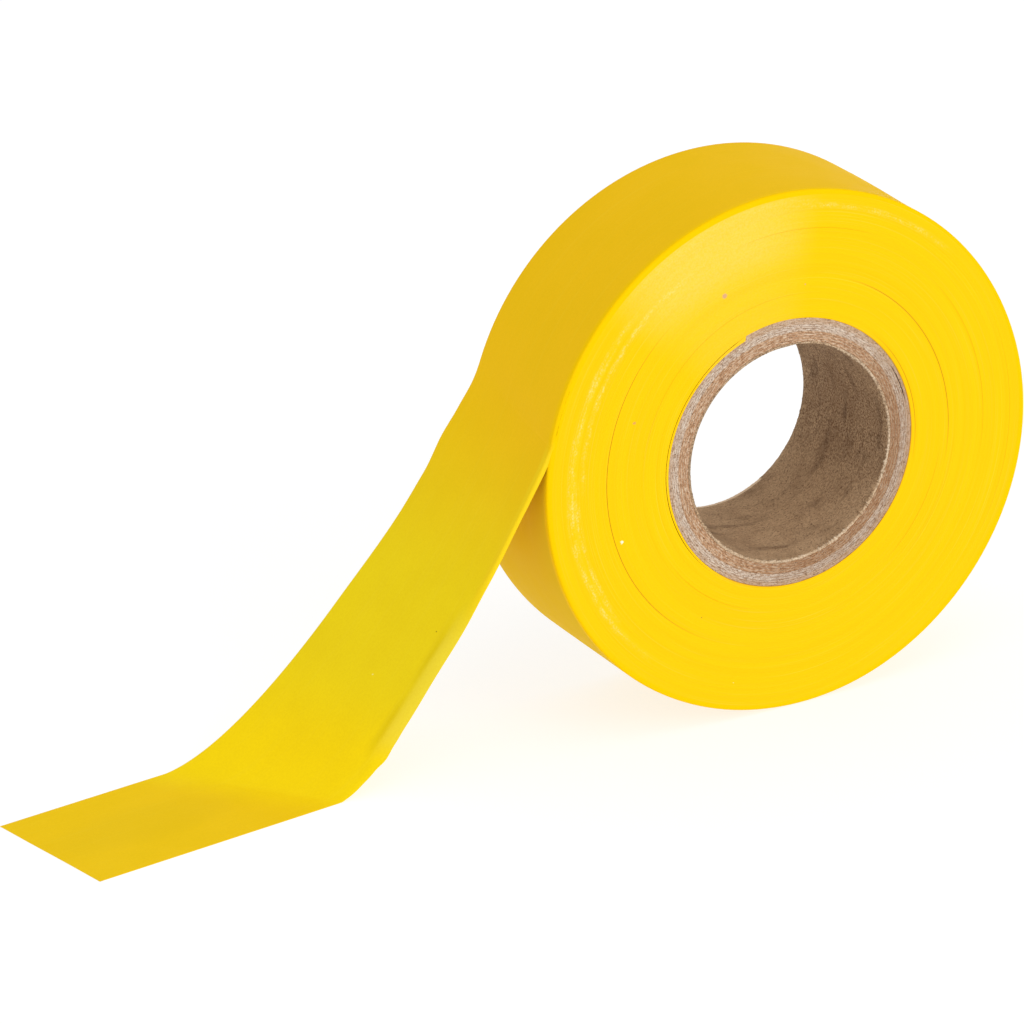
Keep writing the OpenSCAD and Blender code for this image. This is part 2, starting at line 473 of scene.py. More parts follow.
def makeFilmSheet(look):
    finish, tree, shader = startFinish("filmSheet", 0.55, look["specular"])
    uv = addNode(tree, "ShaderNodeUVMap", uv_map="filmRun").outputs["UV"]
    along, across, _ = addNode(tree, "ShaderNodeSeparateXYZ", {"Vector": uv}).outputs
    place = addNode(tree, "ShaderNodeTexCoord").outputs["Object"]
    cloud, speckle = (grain(place, *look[key]) for key in ("cloud", "speckle"))
    stretched = addNode(tree, "ShaderNodeMapping", {"Vector": uv, "Scale": look["drawn"]})
    drawn = grain(stretched.outputs[0], 1.0, 3, 0.6)
    # painted shade of a soft hollow in the middle of the flat end
    hollow = look["hollow"]
    offs = [times(calc("SUBTRACT", value, hollow[at]), 1 / hollow[reach])
            for value, at, reach in ((along, "along", "long"), (across, "across", "wide"))]
    ring = calc("ADD", *(times(off, off) for off in offs))
    # the turned edge: face colour on the roll and just past it, pale where it opens lower down, a
    # painted highlight where the curled edge catches the light
    rim = times(fade(across, *look["rim"], 1, 0), fade(along, *look["freed"], 1, 0))
    hem = times(fade(across, *look["hem"], 0.8, 0), fade(along, *look["freed"]),
                fade(along, *look["hemEnd"], 1, 0))
    lip = times(fade(across, *look["lip"], 0.30, 0), fade(along, *look["lipStart"]),
                fade(along, *look["lipEnd"], 1, 0))
    # painted shade along the fold beside the lip, deepest in two places
    beside = fade(offFrom(across, look["creaseAt"]), 0, look["creaseHalf"], 0.35, 0)
    deepest = calc("ADD", *(fade(offFrom(along, at), *look["creaseRun"], 1, 0)
                            for at in look["creaseDeep"]), clamp=True)
    marks = []
    for run, inward, half, seen in tailMarks:
        off = vectorCalc("LENGTH", vectorCalc("SUBTRACT", uv, (run, inward, 0)))
        marks.append((fade(off, half * 0.5 * mm, half * mm, markShare, 0), shade(*seen)))
    # backed by the roll the film looks deep; on its own it is thin and greener
    tone = layTones(
        filmLook["tread"],
        (fade(along, *look["toTail"]), filmLook["tail"]),
        # painted light: the film drawn brighter where it turns onto the floor and faces the light
        (fade(along, *look["toFold"]), filmLook["fold"]),
        (fade(along, *look["toFlat"]), filmLook["flat"]),
        # painted shade: the first part of the last lap, low on the roll, drawn darker
        (fade(along, *look["lowTreadShade"], 1, 0), filmLook["lowTreadShade"]),
        # painted shade: soft darker mottling over the film, and the hollow in the flat end
        (fade(cloud, 0.35, 0.75, 0, 0.14), filmLook["shadow"]),
        (fade(ring, 0.1, 1.2, hollow["share"], 0), filmLook["shadow"]),
        (rim, filmLook["face"]), (hem, filmLook["hem"]), (lip, filmLook["lip"]),
        (times(beside, deepest), filmLook["crease"]),
        (fade(speckle, 0.3, 0.75, 0, 0.14), filmLook["speckle"]),
        (fade(drawn, 0.5, 0.8, 0, 0.08), filmLook["drawn"]), *marks)
    tree.links.new(tone, shader.inputs["Base Color"])
    tree.links.new(fade(cloud, 0.3, 0.7, *look["roughness"]), shader.inputs["Roughness"])
    soft = bumpUp(drawn, 0.015, 0.5)
    tree.links.new(bumpUp(speckle, 0.02, 0.6, soft), shader.inputs["Normal"])
    return finish


boardLook = {
    "roughness": 0.88, "specular": 0.12,
    "fibre": (3000, 4, 0.8), "blotch": (260, 3, 0.6), "flecks": (3600, 2, 0.4),
    "laid": (26, 4600, 4), "sheets": (7, 1500, 3), "wander": (7, 60, 2), "squiggle": (30, 40, 3),
    "laidDark": shade(140, 96, 62), "fleck": shade(88, 62, 42),
    "glueSway": 0.5, "glueLine": (0.03, 0.12),
    "dull": {"at": -35, "arc": (-0.3, 0.9), "tone": shade(128, 90, 58)},
    "wrap": {"radii": (23.4, 24.1), "share": 0.36, "tone": shade(186, 142, 96)},
    "split": {"radius": 24.03, "sway": 0.35, "line": (0.05, 0.12), "share": 0.9, "at": 21,
              "arc": (10, 6), "tone": shade(70, 48, 32)},
}


def makeBoard(name, look, pale, dark, warm, glueRadii, paleLine, lineShare, dullShare):
    finish, tree, shader = startFinish(name, look["roughness"], look["specular"])
    places = roundPlaces(tree)
    radius = places["radius"]
    fibre, blotch, flecks = (grain(places["place"], *look[key]) for key in
                             ("fibre", "blotch", "flecks"))
    laid, sheets, wander, squiggle = (roundGrain(places, *look[key]) for key in
                                      ("laid", "sheets", "wander", "squiggle"))
    dull, wrap, split = look["dull"], look["wrap"], look["split"]
    # pale glue lines between the plies
    wavy = swayed(radius, wander, look["glueSway"])
    glueLines = [(times(fade(offFrom(wavy, glue), *inMm(look["glueLine"]), lineShare, 0),
                        fade(laid, 0.35, 0.6, 0.1, 1)), paleLine) for glue in glueRadii]
    # duller and browner low on the right
    low = fade(towards(places, dull["at"]), *dull["arc"], 0, dullShare)
    # the wrapping ply is browner than the grey ones under it
    outer = fade(radius, *inMm(wrap["radii"]), 0, wrap["share"])
    # the split between the last grey ply and the wrapping one, drawn as a dark line of painted
    # shade
    off = offFrom(swayed(radius, squiggle, split["sway"]), split["radius"] * mm)
    line = times(fade(off, *inMm(split["line"]), split["share"], 0),
                 fade(towards(places, split["at"]), *map(cosOf, split["arc"])))
    tone = layTones(
        dark, (fade(fibre, 0.38, 0.62), pale), (fade(blotch, 0.4, 0.7, 0, 0.3), dark),
        (fade(sheets, 0.45, 0.7, 0, 0.45), warm), (fade(laid, 0.51, 0.64, 0, 0.6), paleLine),
        (fade(laid, 0.36, 0.48, 0.5, 0), look["laidDark"]), *glueLines, (low, dull["tone"]),
        (outer, wrap["tone"]), (line, split["tone"]),
        (fade(flecks, 0.60, 0.68, 0, 0.6), look["fleck"]))
    tree.links.new(tone, shader.inputs["Base Color"])
    fuzz = bumpUp(fibre, 0.10, 0.8)
    tree.links.new(bumpUp(laid, 0.06, 0.6, fuzz), shader.inputs["Normal"])
    return finish


linerLook = {
    "roughness": 0.85, "specular": 0.12,
    "fibre": (2600, 4, 0.82), "blotch": (170, 3, 0.55), "flecks": (3000, 2, 0.4),
    "dark": shade(120, 92, 66), "pale": shade(200, 168, 132), "patch": shade(134, 104, 76),
    "crease": shade(90, 66, 46), "fleck": shade(84, 60, 42),
    "creases": {"leanAt": 20, "lean": 5, "around": 2.2, "rise": 330, "detail": 4, "rough": 0.6},
    "low": {"at": -82, "arc": (0.3, 1.0), "share": 0.55, "tone": shade(206, 172, 134)},
    "rim": {"at": -35, "arc": (-0.8, 0.7), "shares": (0.25, 0.95), "depths": (0.22, 0.04),
            "tone": shade(222, 200, 172)},
    "worn": {"at": -82, "arc": (24, 22.5), "depths": (0.80, 0.65), "share": 0.8,
             "tone": shade(250, 220, 184)},
}


def makeLiner(look):
    finish, tree, shader = startFinish("linerCard", look["roughness"], look["specular"])
    places = roundPlaces(tree)
    fibre, blotch, flecks = (grain(places["place"], *look[key]) for key in
                             ("fibre", "blotch", "flecks"))
    creases, low, edge, worn = (look[key] for key in ("creases", "low", "rim", "worn"))
    # creases run round the bore, a little askew
    lean = times(towards(places, creases["leanAt"]), creases["lean"] * mm)
    skew = times(calc("ADD", places["y"], lean), creases["rise"])
    crease = turnGrain(places, creases["around"], skew, creases["detail"], creases["rough"])
    # painted light: the lower part of the bore is drawn paler, where more light reaches it
    litBottom = fade(towards(places, low["at"]), *low["arc"], 0, low["share"])
    # the cut rims are paler and fluffy, most of all low on the right
    ends = calc("ABSOLUTE", places["y"])
    torn = fade(towards(places, edge["at"]), *edge["arc"], *edge["shares"])
    rim = times(fade(ends, *fromEnd(edge["depths"])), torn,
                fade(fibre, 0.38, 0.58, 0.15, 1), fade(blotch, 0.38, 0.58, 0.35, 1))
    # the far rim is worn pale along the bottom
    bevel = times(fade(places["y"], *fromEnd(worn["depths"])),
                  fade(towards(places, worn["at"]), *map(cosOf, worn["arc"])), worn["share"])
    tone = layTones(
        look["dark"], (fade(fibre, 0.38, 0.62), look["pale"]), (litBottom, low["tone"]),
        (fade(blotch, 0.42, 0.7, 0, 0.35), look["patch"]),
        (fade(crease, 0.52, 0.70, 0, 0.5), look["crease"]),
        (fade(flecks, 0.58, 0.68, 0, 0.6), look["fleck"]),
        (rim, edge["tone"]), (bevel, worn["tone"]))
    tree.links.new(tone, shader.inputs["Base Color"])
    fuzz = bumpUp(fibre, 0.1, 0.8)
    tree.links.new(bumpUp(crease, 0.3, 0.8, fuzz), shader.inputs["Normal"])
    return finish


brownEdges = [ringSpan(f"brown_ply_{i}")[1] for i in range(1, 5)]
greyEdges = [ringSpan(f"grey_ply_{i}")[1] for i in range(1, 5)]
filmEdges = makeFilmEdges(edgeLook)
filmSheet = makeFilmSheet(sheetLook)
linerCard = makeLiner(linerLook)
brownCard = makeBoard("brownCard", boardLook, pale=shade(205, 166, 130), dark=shade(161, 120, 88),
                      warm=shade(186, 138, 102), glueRadii=brownEdges,
                      paleLine=shade(224, 202, 176), lineShare=0.6, dullShare=0.45)
greyCard = makeBoard("greyCard", boardLook, pale=shade(219, 198, 178), dark=shade(174, 149, 127),
                     warm=shade(200, 170, 142), glueRadii=greyEdges,
                     paleLine=shade(228, 214, 198), lineShare=0.5, dullShare=0.28)
print("finishes made")


# lengths in millimetres from here on
woundFilm = {
    "steps": 240, "seed": 7, "bandStart": 24, "thinBand": 0.12, "wideBand": 0.34,
    "bandDepth": 0.010, "riser": 0.012, "tooth": 0.010, "toothAround": 3, "toothOut": 400,
    "faceDepth": 0.3, "pushSpread": 1.4, "pushFrom": 25.2, "pushEase": 1.2,
    # the face ends at a rim below the last lap, whose turned edge covers the corner
    "rimDrop": 0.90, "rimIn": 0.45, "backTaper": 0.42, "backIn": 0.8, "backStart": 0.02,
    # last laps under the front edge, wound a little slack: drop below the roll and distance in
    "slackStart": 0.5, "slack": [(0.437, 0.6), (0.437, 3.2), (0.13, 14), (0.02, 26)],
}
faceRim = rollR - woundFilm["rimDrop"] * mm


def bandEdges(plan, seed):
    # bundles of laps wound a hair proud or shy of each other, as radius and depth
    draw = random.Random(seed)
    bands, r = [], plan["bandStart"] * mm
    while r < rollR + mm:
        r += draw.uniform(plan["thinBand"], plan["wideBand"]) * mm
        bands.append((r, draw.uniform(-1, 1) * plan["bandDepth"] * mm))
    return bands


frontBands = bandEdges(woundFilm, woundFilm["seed"])
backBands = bandEdges(woundFilm, woundFilm["seed"] + 1)


def depthAt(bands, r):
    return next((depth for edge, depth in bands if edge > r), 0)


def faceLine(plan, bands, inner, outer, gaps):
    # radius and depth along one face, from the inside out
    line = [(inner, depthAt(bands, inner))]
    for edge, depth in bands:
        if inner + 0.03 * mm < edge < outer - 0.03 * mm:
            line.append((edge - plan["riser"] * mm, depth))
            line.append((edge + plan["riser"] * mm, depthAt(bands, edge + 0.001 * mm)))
    line.append((outer, depthAt(bands, outer)))
    for gap in gaps:
        middle, half = gap["radius"] * mm, gap["width"] / 2 * mm
        if inner + half < middle < outer - half:
            line = [p for p in line if abs(p[0] - middle) > half * 1.3]
            level = depthAt(bands, middle)
            line += [(middle - half, level), (middle, level), (middle + half, level)]
    return sorted(line)


def lapPush(r, a):
    # how far the open laps are pushed aside there
    total = 0
    for gap in lapGaps:
        lean = gap["push"] * mm * cosOf(a - gap["pushAt"])
        total += lean * math.exp(-((r - gap["radius"] * mm) / (woundFilm["pushSpread"] * mm)) ** 2)
    return total * min(1, max(0, (r - woundFilm["pushFrom"] * mm) / (woundFilm["pushEase"] * mm)))


def gapDepth(r, a):
    for gap in lapGaps:
        if abs(r - gap["radius"] * mm) < 0.004 * mm:
            reach = abs(turnFrom(a, gap["arcAt"])) / gap["arc"]
            if reach < 1:
                return gap["deep"] * mm * (1 - reach ** 2)
    return 0


corePlan = {
    "steps": 360, "seed": 21, "softEdge": 0.07, "recess": 0.06, "wrapRecess": 0.02,
    "crown": 0.02, "rough": 0.05, "roughDepth": 0.4, "coarse": (9, 600), "fine": (60, 3000),
    # the wrapping ply ends in a step: its edge stands out there and eases off round the core
    "stepAt": 109, "stepCut": 0.12, "stepOut": 0.36, "outEase": 45, "stepIn": -0.42, "inEase": 95,
    "low": {"at": -75, "ease": 45, "out": 0.14},
    # the first laps bridge the step, so a slit stays open round the upper left
    "slit": {"dip": 0.08, "more": 0.20, "at": 140, "ease": 24, "run": 118, "open": 6, "close": 20},
    "split": {"at": 21, "ease": 9, "deep": 0.16},
}


def wrapSwell(a):
    past = (corePlan["stepAt"] - a) % 360   # clockwise from the step
    if past < 180:
        swell = corePlan["stepOut"] * math.exp(-(past / corePlan["outEase"]) ** 2)
    else:
        swell = corePlan["stepIn"] * math.exp(-((360 - past) / corePlan["inEase"]) ** 2)
    low = corePlan["low"]
    return (swell + low["out"] * math.exp(-(turnFrom(a, low["at"]) / low["ease"]) ** 2)) * mm


def slitR(a):
    slit = corePlan["slit"]
    dip = slit["dip"] + slit["more"] * math.exp(-(turnFrom(a, slit["at"]) / slit["ease"]) ** 2)
    return ringSpan("first_laps")[1] - dip * mm


def slitShare(a):
    # 1 where the slit is open, 0 where the laps lie close
    slit = corePlan["slit"]
    past = (a - corePlan["stepAt"]) % 360
    if past >= slit["run"]:
        return 0
    return min(1, past / slit["open"]) * min(1, max(0, (slit["run"] - past) / slit["close"]))


def windFilm(plan, node, name):
    inner, outer = ringSpan(node)
    front = [(r, -halfW + d) for r, d in faceLine(plan, frontBands, inner, outer, lapGaps)]
    back = [(r, halfW - d) for r, d in faceLine(plan, backBands, inner, outer, ())]
    if inner < faceRim < outer:
        front = [p for p in front if p[0] < faceRim]
        front += [(faceRim, -halfW), (outer, -halfW + plan["rimIn"] * mm)]
    if inner > faceRim:
        front = [(inner, -halfW + plan["slackStart"] * mm)]
        front += [(outer - drop * mm, -halfW + w * mm) for drop, w in plan["slack"]]
        back = back[:1] + [(outer - plan["backTaper"] * mm, halfW - plan["backStart"] * mm),
                           (outer, halfW - plan["backIn"] * mm)]
    piece = drawSection(name, front + back[::-1])
    spinSection(plan["steps"])
    faceY = halfW - plan["faceDepth"] * mm

    def rule(r, y, a):
        if y < -faceY:
            y += gapDepth(r, a)
        wave = noise.noise(Vector((cosOf(a) * plan["toothAround"], sinOf(a) * plan["toothAround"],
                                   r * plan["toothOut"])))
        if abs(y) > faceY:
            y += wave * plan["tooth"] * mm
        if node == "winding_1" and r < inner + 0.02 * mm:
            lower = max(inner, ringSpan("first_laps")[0] + wrapSwell(a) + 0.08 * mm)
            return lower + (slitR(a) + 0.06 * mm - lower) * slitShare(a), y
        return r + lapPush(r, a), y
    reshape(piece, rule)
    finishPiece(piece, node, filmEdges)


for winding in range(1, 9):
    windFilm(woundFilm, f"winding_{winding}", f"winding{winding}")
windFilm(woundFilm, "outer_laps", "outerLaps")
print("film wound")


def plySection(inner, outer, recess, soft, wallCuts=1):
    lowY, highY = -halfW + recess, halfW - recess
    mid, crown = (inner + outer) / 2, corePlan["crown"] * mm
    front = [(inner, lowY + soft), (inner + soft, lowY), (mid, lowY - crown),
             (outer - soft, lowY), (outer, lowY + soft)]
    back = [(outer, highY - soft), (outer - soft, highY), (mid, highY + crown),
            (inner + soft, highY), (inner, highY - soft)]
    wall = [(inner, highY - soft + (lowY - highY + 2 * soft) * i / wallCuts)
            for i in range(1, wallCuts)]
    return front + back + wall


def drawShift(draw):
    return Vector((draw.uniform(0, 50), draw.uniform(0, 50), draw.uniform(0, 50)))


def plyRule(draw, plan):
    # the cut ends of the plies are rough
    shift = drawShift(draw)

    def rule(r, y, a):
        if abs(y) > halfW - plan["roughDepth"] * mm:
            turn = Vector((cosOf(a), sinOf(a), 0))
            bumps = sum(noise.noise(turn * around + shift + Vector((0, 0, r * out)))
                        for around, out in (plan["coarse"], plan["fine"]))
            y += bumps * plan["rough"] * mm * (1 if y > 0 else -1)
        return r, y
    return rule


def layPly(node, name, finish, draw):
    inner, outer = ringSpan(node)
    recess = draw.uniform(0, corePlan["recess"]) * mm
    piece = drawSection(name, plySection(inner, outer, recess, corePlan["softEdge"] * mm))
    spinSection(corePlan["steps"])
    rule = plyRule(draw, corePlan)
    split = corePlan["split"]

    def wholeRule(r, y, a):
        r, y = rule(r, y, a)
        if node == "grey_ply_4" and r > (inner + outer) / 2:
            # this ply has split from the wrapping one over a short arc
            ripple = 0.6 + 0.4 * noise.noise(Vector((a * 0.35, 0, 3)))
            near = math.exp(-(turnFrom(a, split["at"]) / split["ease"]) ** 2)
            r -= split["deep"] * mm * ripple * near
        return r, y
    reshape(piece, wholeRule)
    finishPiece(piece, node, finish, 50)


coreDraw = random.Random(corePlan["seed"])
for ply in range(1, 5):
    layPly(f"brown_ply_{ply}", f"brownPly{ply}", brownCard, coreDraw)
for ply in range(1, 5):
    layPly(f"grey_ply_{ply}", f"greyPly{ply}", greyCard, coreDraw)


def cutBesideStep(piece):
    # two cuts close together keep the step crisp
    pickPiece(piece)
    bpy.ops.object.mode_set(mode="EDIT")
    for side in (-corePlan["stepCut"], corePlan["stepCut"]):
        aim = corePlan["stepAt"] + side + 90
        bpy.ops.mesh.select_all(action="SELECT")
        bpy.ops.mesh.bisect(plane_co=(0, 0, 0), plane_no=(cosOf(aim), 0, sinOf(aim)))
    bpy.ops.object.mode_set(mode="OBJECT")


def layWrap():
    inner, outer = ringSpan("wrap_ply")
    outline = plySection(inner, outer, corePlan["wrapRecess"] * mm, corePlan["softEdge"] * mm)
    piece = drawSection("wrapPly", outline)
    spinSection(corePlan["steps"])
    cutBesideStep(piece)
    rule = plyRule(coreDraw, corePlan)

    def wholeRule(r, y, a):
        r, y = rule(r, y, a)
        return r + (r - inner) / (outer - inner) * wrapSwell(a), y
    reshape(piece, wholeRule)
    finishPiece(piece, "wrap_ply", greyCard, 50)


def layFirstLaps():
    inner, outer = ringSpan("first_laps")
    outline = [(inner, -halfW), (outer, -halfW), (outer, halfW), (inner, halfW)]
    piece = drawSection("firstLaps", outline)
    spinSection(corePlan["steps"])
    cutBesideStep(piece)
    middle = (inner + outer) / 2

    def rule(r, y, a):
        if r < middle:
            return r + wrapSwell(a) + 0.01 * mm, y
        closed = max(r - 0.01 * mm, inner + wrapSwell(a) + 0.07 * mm)
        return closed + (slitR(a) - 0.06 * mm - closed) * slitShare(a), y
    reshape(piece, rule)
    finishPiece(piece, "first_laps", filmEdges)


linerPlan = {
    "steps": 720, "wallCuts": 26, "seed": 5, "softEdge": 0.08, "rimDepth": 0.3, "wallDepth": 0.1,
    # torn fibres along the cut edge, worst low on the right
    "tornAt": -35, "farShare": 0.15, "tuft": 90, "clump": 22, "tipMost": 0.4,
    "burrOut": 0.6, "burrIn": 1.0, "burrDepth": 0.2,
    "worn": {"at": 73, "ease": 12, "deep": 0.6},
    "wrinkle": 0.16, "leanAt": 20, "lean": 5, "crease": (2.2, 420, 0.7), "hollow": (5, 120, 0.5),
}


def layLiner(plan):
    inner, outer = ringSpan("liner_ply")
    outline = plySection(inner, outer, 0.0, plan["softEdge"] * mm, plan["wallCuts"])
    piece = drawSection("linerPly", outline)
    spinSection(plan["steps"])
    shift = drawShift(random.Random(plan["seed"]))

    def tip(height):
        return min(plan["tipMost"], max(0, height))

    def rule(r, y, a):
        turn = Vector((cosOf(a), sinOf(a), 0))
        if abs(y) > halfW - plan["rimDepth"] * mm:
            torn = 0.5 + 0.5 * cosOf(a - plan["tornAt"])
            torn *= 1 if y < 0 else plan["farShare"]
            tuft = noise.noise(turn * plan["tuft"] + shift)
            clump = noise.noise(turn * plan["clump"] - shift)
            y += (1 if y > 0 else -1) * plan["burrOut"] * mm * torn * tip(tuft + clump * 0.8)
            if r < inner + plan["burrDepth"] * mm:
                r -= plan["burrIn"] * mm * torn * tip(tuft * 0.8 + clump * 0.7)
                # a stretch worn back near the top
                worn = plan["worn"]
                near = math.exp(-(turnFrom(a, worn["at"]) / worn["ease"]) ** 4)
                r += worn["deep"] * mm * near * (y < 0)
        elif r < inner + plan["wallDepth"] * mm:
            lean = plan["lean"] * mm * cosOf(a - plan["leanAt"])
            around, rise, creaseShare = plan["crease"]
            crease = noise.noise(Vector((turn.x * around, turn.y * around, (y + lean) * rise)))
            around, rise, hollowShare = plan["hollow"]
            hollow = noise.noise(Vector((turn.x * around, turn.y * around, y * rise)))
            r += (crease * creaseShare + hollow * hollowShare) * plan["wrinkle"] * mm
        return r, y
    reshape(piece, rule)
    finishPiece(piece, "liner_ply", linerCard, 60)


layWrap()
layFirstLaps()
layLiner(linerPlan)
print("core laid")


tailPlan = {
    "thick": 0.06, "lapGap": 0.03, "floorGap": 0.01, "lapStart": -206, "lapStep": 2.0,
    "lapGrow": 0.11, "startTuck": 0.06, "startRows": 6,
    "peelBack": 22, "peelFront": 13.5, "peelBackRun": 11, "peelFrontRun": 4.5,
    "landBackRun": 23, "landFrontRun": 10.5, "landFrontAngle": 15,
    "touchRun": 38.8, "touchStagger": 18.9, "drift": 7.1, "yaw": 7.2,
    "flatRun": 49, "cutSlant": 2.2, "freeSteps": 130, "flatStep": 1.0,
    "middleColumns": 22,
    # the turned edges: radius of the bend, its steps, width of the hem
    "corner": 0.42, "cornerSteps": 6, "hemWide": 0.05, "hemEnd": 0.97, "backHem": 0.50,
    # share of the drop at which the front edge opens, and over which it does so
    "openAt": 0.3, "openRun": 0.2, "backOpenRun": 0.2, "backOpenShare": 0.8,
    # the slack front edge of the last lap: angle, spread and how far it sinks, and how far in
    "sunk": [(46, 38, 0.45), (-107, 26, 0.18)], "sunkFrom": 3, "sunkRun": 22,
    "ridge": {"at": 36, "ease": 11, "from": 2.4, "run": 20},
    # share of the drop, width of the turned edge, how far it turns under, length of its hem
    "lip": [(0.0, 0.42, 0.42, 0.50), (0.35, 0.5, 0.40, 0.36), (0.5, 2.2, 0.45, 0.12),
            (0.6, 2.7, 0.55, 0.06), (0.8, 2.6, 0.50, 0.05), (0.84, 1.4, 0.2, 0.05),
            (1.0, 1.0, 0.08, 0.05), (1.3, 0.6, 0.03, 0.05), (9.0, 0.5, 0.02, 0.05)],
    # the crease beside the lip: its depth by share of the drop, where its columns stand
    "valley": [(0.0, 0.0), (0.48, 0.0), (0.56, 0.22), (0.64, 0.08), (0.73, 0.20), (0.79, 0.12),
               (0.84, 0.0), (9.0, 0.0)],
    "valleyColumns": (0, 0.25, 0.5, 0.8, 1.2, 1.7, 2.4, 3.2), "valleyAt": 0.9, "valleyEase": 0.75,
    # gentle waves of the two edges, outward from the roll, by share of the drop
    "frontWave": [(0.0, 0.11), (0.05, 0.2), (0.28, 0.35), (0.42, 0.1), (0.5, -0.1), (0.62, 0.4),
                  (0.72, 0.25), (0.76, 0.0), (0.803, -0.5), (0.84, -0.15), (0.9, 0.15),
                  (0.97, 0.25), (1.04, 0.0), (9.0, 0.0)],
    "backWave": [(0.0, 0.11), (0.1, -0.15), (0.17, 0.05), (0.23, 0.25), (0.31, -0.45),
                 (0.38, -0.6), (0.55, 0.0), (9.0, 0.0)],
    "frontWaveReach": 0.4, "backWaveReach": 0.5, "waveStart": 0.05,
    # height and closeness of the flat end's low waves
    "ripple": 0.072, "rippleTight": 90, "rippleStart": 0.15,
    # the stretch of the flat end that takes up the pull
    "stretch": (12, 47),
}


def along(stations, s):
    # eases from one station to the next
    for here, there in zip(stations, stations[1:]):
        if s <= there[0]:
            t = max(0, (s - here[0]) / (there[0] - here[0]))
            t = t * t * (3 - 2 * t)
            return [a + (b - a) * t for a, b in zip(here[1:], there[1:])]
    return list(stations[-1][1:])


def cubic(p, a, b, q, s):
    return (p * (1 - s) ** 3 + a * (3 * s * (1 - s) ** 2) + b * (3 * s ** 2 * (1 - s))
            + q * s ** 3)


def tailColumns(plan, s):
    # distance in from the front edge, how far under the sheet's plane, and the run across
    corner, steps, hemW = plan["corner"] * mm, plan["cornerSteps"], plan["hemWide"] * mm
    lipWide, lipDrop, hem = (value * mm for value in along(plan["lip"], max(0, s)))
    (valley,) = along(plan["valley"], max(0, s))
    opened = min(1, max(0, (s - plan["openAt"]) / plan["openRun"]))
    edgeW = hemW * (1 - opened)
    made = [(edgeW, lipDrop + hem), (0.3 * edgeW, lipDrop + hem * 0.75), (0, lipDrop + hem * 0.45)]
    for j in range(steps):
        turn = math.pi / 2 * (1 - j / steps)
        bent = (corner - corner * math.sin(turn), corner - corner * math.cos(turn))
        t = j / steps
        curled = (lipWide * t, lipDrop * (1 - t) ** 2)
        made.append(tuple(b + (c - b) * opened for b, c in zip(bent, curled)))
    edge = corner + (lipWide - corner) * opened
    for gap in plan["valleyColumns"]:
        deep = math.exp(-((gap - plan["valleyAt"]) / plan["valleyEase"]) ** 2)
        made.append((edge + gap * mm, valley * mm * deep))
    far, last = made[-1][0], filmW - corner
    for j in range(1, plan["middleColumns"] + 1):
        made.append((far + (last - far) * j / plan["middleColumns"], 0))
    bend = 1 - plan["backOpenShare"] * min(1, max(0, s / plan["backOpenRun"]))
    for j in range(1, steps + 1):
        turn = math.pi / 2 * j / steps
        made.append((last + corner * math.sin(turn), (corner - corner * math.cos(turn)) * bend))
    made.append((filmW - 0.06 * mm, corner * bend + hemW))
    run = [0]
    for here, there in zip(made, made[1:]):
        run.append(run[-1] + math.dist(here, there))
    skip = filmW - run[-1]
    return [(w, drop, v + skip) for (w, drop), v in zip(made, run)]


def sunkBy(plan, angle, w):
    # the slack edge of the last lap sinks into the hollow left under it
    turned = math.degrees(angle)
    depth = max(by * math.exp(-(abs(turnFrom(turned, at)) / spread) ** 3)
                for at, spread, by in plan["sunk"])
    # near the upper right the lap stands up again just behind the rim
    ridge = plan["ridge"]
    near = math.exp(-(turnFrom(turned, ridge["at"]) / ridge["ease"]) ** 2)
    start, span = plan["sunkFrom"] - ridge["from"] * near, plan["sunkRun"] - ridge["run"] * near
    inFar = min(1, max(0, (w / mm - start) / span))
    return depth * mm * (1 - inFar * inFar * (3 - 2 * inFar))


